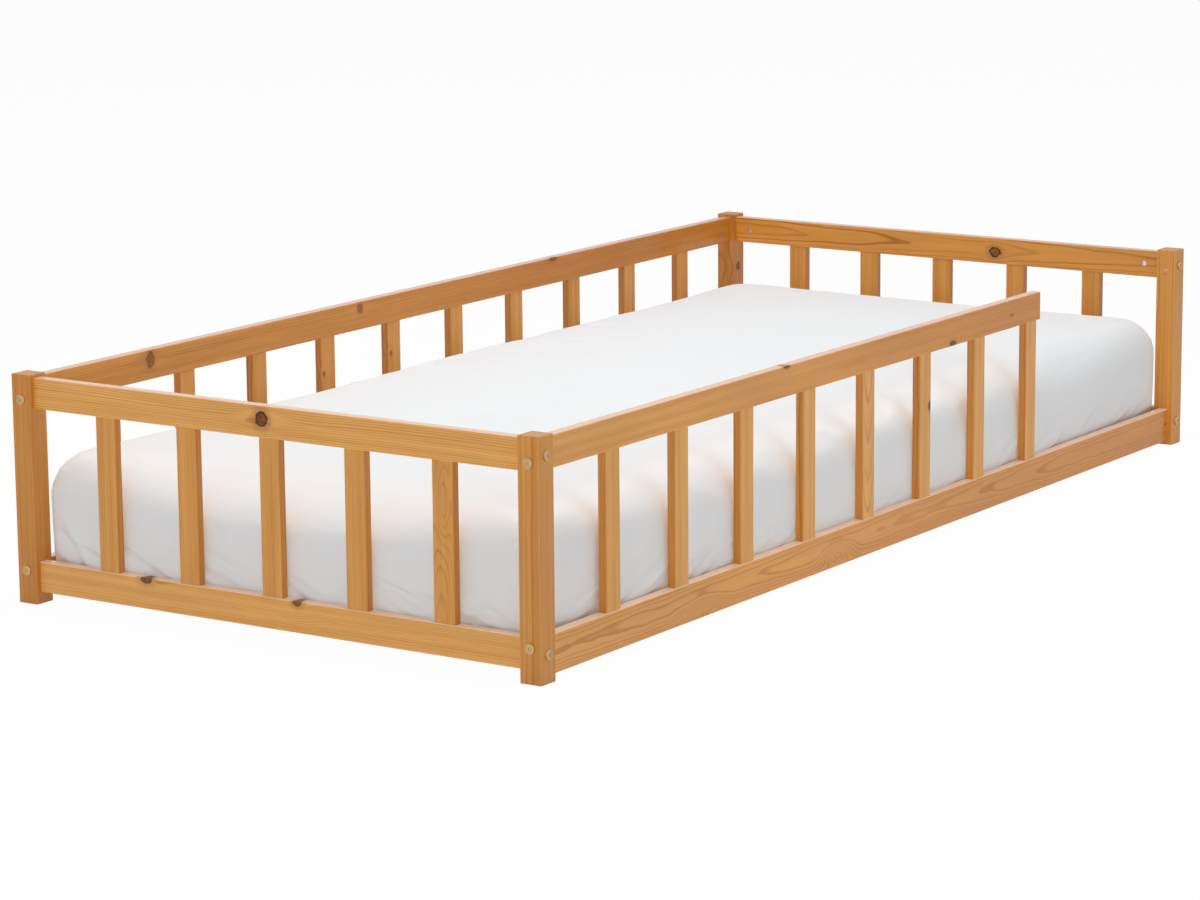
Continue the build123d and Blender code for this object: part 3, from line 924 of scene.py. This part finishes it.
class BED_OT_make_fitted_sheet(bpy.types.Operator):
    """Make the fitted sheet, stretched over the mattress and turned under it"""

    bl_idname = "bed.make_fitted_sheet"
    bl_label = "Make fitted sheet"

    # The cloth's settling: its band of elastic, the gap where it touches, its weight and its grip
    elastic_band = 0.01
    touching_gap = 0.001
    cloth_quality = 4
    cloth_mass = 0.12
    cloth_gravity = 0.3
    cloth_friction = 10.0

    # Faces this near to the underside and facing this far down are under the mattress.
    under_band = 0.02
    under_slope = -0.7

    # Room that the sheet keeps to the bottom rails and to the slats above them
    over_rail = 0.001
    rail_room = 0.0008
    slat_room = 0.0010

    # Creases: their slope, how often they come along and across, their width and height, and where they fade
    crease_slope = 0.385
    crease_wave = (2.6, 26.0, 1.0)
    crease_width = 0.14
    crease_height = 0.0032
    crease_patch = (0.38, 0.56)
    crease_fall = (0.080, 0.150)

    def execute(self, context):
        linen = context.scene.bed_linen
        piece = dressed_shell("cotton_sheet", linen)
        low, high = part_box("fitted_sheet")
        self.open_under(piece, low, high, linen)
        self.settle(piece, bpy.data.objects["quilted_mattress"], low, linen)
        only(piece)
        bpy.ops.object.shade_smooth()
        divide = piece.modifiers.new("fine cloth", "SUBSURF")
        divide.levels = divide.render_levels = 1
        apply_modifiers(piece)
        self.press_folds(piece, linen)
        self.keep_inside(piece)
        piece.data.materials.append(self.jersey(linen).material)
        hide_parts("fitted_sheet")
        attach(piece, "mattress")
        return {"FINISHED"}

    def open_under(self, piece, low, high, linen):
        """Let the skin stand off the mattress and open it inside the hem."""
        stand_off(piece, linen.sheet_gap)
        only(piece)
        middle = [(a + b) / 2 for a, b in zip(low, high)]
        for face in piece.data.polygons:
            under = face.center.z < low.z + self.under_band and face.normal.z < self.under_slope
            inside = all(
                abs(face.center[i] - middle[i]) < (high[i] - low[i]) / 2 - linen.hem_reach for i in (0, 1)
            )
            face.select = under and inside
        bpy.ops.object.mode_set(mode="EDIT")
        bpy.ops.mesh.delete(type="FACE")
        bpy.ops.object.mode_set(mode="OBJECT")

    def settle(self, piece, under, low, linen):
        """Let the cloth settle on the mattress while its elastic hem draws it tight."""
        starts = [(vert.co.copy(), vert.normal.copy()) for vert in piece.data.vertices]
        elastic = piece.vertex_groups.new(name="elastic")
        turned = [v.index for v in piece.data.vertices if v.co.z < low.z + self.elastic_band]
        elastic.add(turned, 1.0, "REPLACE")
        under.modifiers.new("support", "COLLISION")
        under.collision.thickness_outer = self.touching_gap
        under.collision.cloth_friction = self.cloth_friction
        cloth = piece.modifiers.new("settle", "CLOTH")
        cloth.settings.quality = self.cloth_quality
        cloth.settings.mass = self.cloth_mass
        cloth.settings.vertex_group_shrink = elastic.name
        cloth.settings.shrink_min = 0.0
        cloth.settings.shrink_max = linen.hem_shrink
        cloth.settings.effector_weights.gravity = self.cloth_gravity
        cloth.collision_settings.distance_min = self.touching_gap
        cloth.point_cache.frame_end = linen.settle_frames
        for number in range(1, linen.settle_frames + 1):
            bpy.context.scene.frame_set(number)
        apply_modifiers(piece)
        under.modifiers.clear()
        bpy.context.scene.frame_set(1)

        # The mattress holds the cloth, so it moves outwards or along the skin, and no further than the cap.
        for vert, (start, outward) in zip(piece.data.vertices, starts):
            move = vert.co - start
            move -= outward * min(0.0, move.dot(outward))
            vert.co = start + move * min(1.0, linen.settle_cap / max(move.length, 1e-9))

    def press_folds(self, piece, linen):
        """Raise the soft slanting folds that start at the hem."""
        half = (linen.mattress_length / 2, linen.mattress_width / 2)
        for (axis, way), lines in FOLDS.items():
            reach = half[axis] - FOLD_DEPTH
            verts = [v for v in piece.data.vertices if way * v.co[axis] > reach and v.co.z < FOLD_TOP]
            for start, end, height, width in lines:
                start = Vector(start)
                run = Vector(end) - start
                side = Vector((-run.y, run.x)).normalized() * (1 if run.x > 0 else -1)
                for vert in verts:
                    place = Vector((vert.co[1 - axis], vert.co.z)) - start
                    share = place.dot(run) / run.length_squared
                    if not FOLD_IN[0] < share < FOLD_OUT[1]:
                        continue
                    off = place.dot(side) / width
                    crest = FOLD_CREST * math.exp(-(off**2))
                    crest -= FOLD_DIP * math.exp(-((off + FOLD_DIP_OFF) ** 2))
                    strength = ease(share, *FOLD_IN) * fade(share, *FOLD_OUT)
                    vert.co[axis] += way * height * crest * strength

    def keep_inside(self, piece):
        """Keep the sheet inside the bottom rails and the guard slats."""
        rail_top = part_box("foot_bottom_rail")[1].z + self.over_rail
        for axis, side in ((0, "head"), (1, "back")):
            rail_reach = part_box(f"{side}_bottom_rail")[0][axis] - self.rail_room
            slat_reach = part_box(f"{side}_slat_1")[0][axis] - self.slat_room
            for vert in piece.data.vertices:
                reach = rail_reach if vert.co.z < rail_top else slat_reach
                vert.co[axis] = max(-reach, min(reach, vert.co[axis]))

    def jersey(self, linen):
        """Fine cotton jersey with its ribs and a soft nap."""
        finish = Finish("white_cotton_jersey")
        place, (x, y, z) = finish.object_place()
        turn = 2 * math.pi / linen.knit_gap
        rib = finish.math("SINE", finish.math("MULTIPLY", finish.math("ADD", y, z), turn))
        loop = finish.math("SINE", finish.math("MULTIPLY", finish.math("ADD", x, z), turn * 0.7))
        knit = finish.math("MULTIPLY_ADD", finish.math("ABSOLUTE", loop), 0.6, rib)
        nap = finish.noise(place, (700.0,) * 3, (2.0, 4.0, 6.0))
        tone = finish.math("MULTIPLY_ADD", nap, 0.03, 0.985)
        finish.set(Base_Color=finish.shade(tuple(linen.sheet_colour), tone))
        finish.set(Roughness=finish.math("MULTIPLY_ADD", nap, 0.08, 0.86))
        finish.set(Sheen_Weight=0.15, Sheen_Roughness=0.5, Specular_IOR_Level=0.25)

        # Soft creases slant up from the hem where the elastic draws the cloth in.
        level = finish.math("ADD", x, y)
        rise = finish.math("MULTIPLY_ADD", level, -self.crease_slope, z)
        run = finish.math("MULTIPLY_ADD", z, self.crease_slope, level)
        crease = finish.noise(finish.combine(run, rise, 0.0), self.crease_wave, (7.0, 1.0, 3.0), 1.0)
        crease = finish.math("ABSOLUTE", finish.math("SUBTRACT", crease, 0.5))
        crease = finish.remap(crease, 0.0, self.crease_width, 1.0, 0.0)
        patch = finish.noise(place, (5.0,) * 3, (1.0, 5.0, 2.0), 1.0)
        patch = finish.remap(patch, *self.crease_patch)
        hem = finish.remap(z, *self.crease_fall, 1.0, 0.0)
        crease = finish.math("MULTIPLY", crease, finish.math("MULTIPLY", patch, hem))
        relief = finish.math("MULTIPLY", finish.math("MULTIPLY_ADD", nap, 0.5, knit), linen.knit_height)
        finish.bump(finish.math("MULTIPLY_ADD", crease, self.crease_height, relief), 1.0, 1.0)
        return finish


class BED_OT_make_stage(bpy.types.Operator):
    """Make the floor, the room light, the lamps and the camera"""

    bl_idname = "bed.make_stage"
    bl_label = "Make stage"

    # Lamps as (name, setting of its power, place, size, throws a shadow), all aimed at one spot
    lamps = [
        ("top_light", "top_power", (0.0, 0.0, 3.2), 2.0, True),
        ("foot_fill", "foot_power", (-5.0, 0.0, 3.0), 4.0, False),
        ("front_fill", "front_power", (0.0, -5.0, 3.0), 4.0, False),
        ("rear_fill", "rear_power", (3.5, 3.5, 4.0), 5.0, True),
    ]
    lamp_aim = (0.0, 0.0, 0.2)
    floor_side = 60.0
    sensor_width = 36.0

    def execute(self, context):
        stage = context.scene.bed_stage
        self.make_floor(stage)
        self.make_room(context.scene, stage)
        for name, power, place, size, shadow in self.lamps:
            self.make_light(name, getattr(stage, power), place, size, shadow)
        self.make_camera(context.scene, stage)
        context.scene.view_settings.view_transform = "Standard"
        return {"FINISHED"}

    def seen_share(self, tree, share):
        """A share of what the camera, a gloss or a clear surface sees, and none of what lights the bed."""
        path = tree.nodes.new("ShaderNodeLightPath")
        total = path.outputs["Is Camera Ray"]
        for name in ("Is Glossy Ray", "Is Transmission Ray"):
            most = tree.nodes.new("ShaderNodeMath")
            most.operation = "MAXIMUM"
            tree.links.new(total, most.inputs[0])
            tree.links.new(path.outputs[name], most.inputs[1])
            total = most.outputs[0]
        scaled = tree.nodes.new("ShaderNodeMath")
        scaled.operation = "MULTIPLY"
        scaled.inputs[1].default_value = share
        tree.links.new(total, scaled.inputs[0])
        return scaled.outputs[0]

    def make_floor(self, stage):
        """A pale floor that looks almost white to the camera and keeps a trace of the shadow."""
        bpy.ops.object.select_all(action="DESELECT")
        bpy.ops.mesh.primitive_plane_add(size=self.floor_side, location=(0, 0, 0))
        floor = bpy.context.object
        floor.name = "studio_floor"
        finish = Finish("pale_floor")
        place, _ = finish.object_place()
        cloud = finish.noise(place, (3.0,) * 3, (0.0, 0.0, 0.0))
        tone = finish.math("MULTIPLY_ADD", cloud, 0.01, 0.995)
        finish.set(Base_Color=finish.shade(tuple(stage.floor_colour), tone), Roughness=0.9)
        finish.set(Specular_IOR_Level=0.0)
        glow = finish.node("ShaderNodeEmission", (1.0, 1.0, 1.0, 1.0), 1.0)
        both = finish.node("ShaderNodeMixShader", self.seen_share(finish.tree, stage.floor_glow))
        finish.tree.links.new(finish.shader.outputs[0], both.inputs[1])
        finish.tree.links.new(glow.outputs[0], both.inputs[2])
        finish.tree.links.new(both.outputs[0], finish.output.inputs["Surface"])
        floor.data.materials.append(finish.material)

    def make_room(self, scene, stage):
        """A white background that lights the bed evenly, at a strength of its own."""
        world = bpy.data.worlds.new("pale_room")
        world.use_nodes = True
        tree = world.node_tree
        tree.nodes.clear()
        even = tree.nodes.new("ShaderNodeBackground")
        even.inputs["Strength"].default_value = stage.world_light
        white = tree.nodes.new("ShaderNodeBackground")
        for node in (even, white):
            node.inputs["Color"].default_value = (1.0, 1.0, 1.0, 1.0)
        both = tree.nodes.new("ShaderNodeMixShader")
        tree.links.new(self.seen_share(tree, 1.0), both.inputs[0])
        tree.links.new(even.outputs[0], both.inputs[1])
        tree.links.new(white.outputs[0], both.inputs[2])
        output = tree.nodes.new("ShaderNodeOutputWorld")
        tree.links.new(both.outputs[0], output.inputs["Surface"])
        scene.world = world

    def make_light(self, name, power, place, size, shadow):
        """One large soft light that faces the bed, with or without a shadow."""
        bpy.ops.object.light_add(type="AREA", location=place)
        light = bpy.context.object
        light.name = name
        aim = Vector(self.lamp_aim) - Vector(place)
        light.rotation_euler = aim.to_track_quat("-Z", "Y").to_euler()
        light.data.shape = "SQUARE"
        light.data.size = size
        light.data.energy = power
        light.data.use_shadow = shadow
        light.visible_camera = False

    def make_camera(self, scene, stage):
        """The camera, from its place and lens and the turn, height and roll of its view."""
        turn, height, roll = stage.camera_azimuth, stage.camera_elevation, stage.camera_roll
        level_share = math.cos(height)
        back = Vector((math.sin(turn) * level_share, -math.cos(turn) * level_share, math.sin(height)))
        level = Vector((0, 0, 1)).cross(back).normalized()
        upright = back.cross(level)
        right = math.cos(roll) * level + math.sin(roll) * upright
        up = -math.sin(roll) * level + math.cos(roll) * upright
        bpy.ops.object.camera_add()
        camera = bpy.context.object
        camera.name = "photo_camera"
        view = Matrix((right, up, back)).transposed().to_4x4()
        camera.matrix_world = Matrix.Translation(stage.camera_place) @ view
        camera.data.sensor_width = self.sensor_width
        camera.data.sensor_fit = "HORIZONTAL"
        camera.data.lens = stage.camera_lens
        scene.camera = camera


class BED_PT_panel(bpy.types.Panel):
    """Lists the steps that finish the bed, and their sizes and colours"""

    bl_idname = "BED_PT_panel"
    bl_label = "Toddler bed"
    bl_space_type = "VIEW_3D"
    bl_region_type = "UI"
    bl_category = "Bed"

    def draw(self, context):
        for step in STEPS:
            self.layout.operator(step.bl_idname)
        for name, kind in SETTINGS.items():
            box = self.layout.box()
            for value in kind.__annotations__:
                box.prop(getattr(context.scene, name), value)


SETTINGS = {
    "bed_wood": BedWoodSettings,
    "bed_hardware": BedHardwareSettings,
    "bed_linen": BedLinenSettings,
    "bed_stage": BedStageSettings,
}
STEPS = [
    BED_OT_make_stage,
    BED_OT_finish_posts,
    BED_OT_finish_rails,
    BED_OT_finish_guard_slats,
    BED_OT_finish_base,
    BED_OT_finish_hardware,
    BED_OT_make_mattress,
    BED_OT_make_fitted_sheet,
]
CLASSES = [*SETTINGS.values(), *STEPS, BED_PT_panel]


def register():
    for kind in CLASSES:
        bpy.utils.register_class(kind)
    for name, kind in SETTINGS.items():
        setattr(bpy.types.Scene, name, PointerProperty(type=kind))


def unregister():
    for name in SETTINGS:
        delattr(bpy.types.Scene, name)
    for kind in reversed(CLASSES):
        bpy.utils.unregister_class(kind)


def main():
    register()
    for step in STEPS:
        group, name = step.bl_idname.split(".")
        getattr(getattr(bpy.ops, group), name)()


if __name__ == "__main__":
    main()
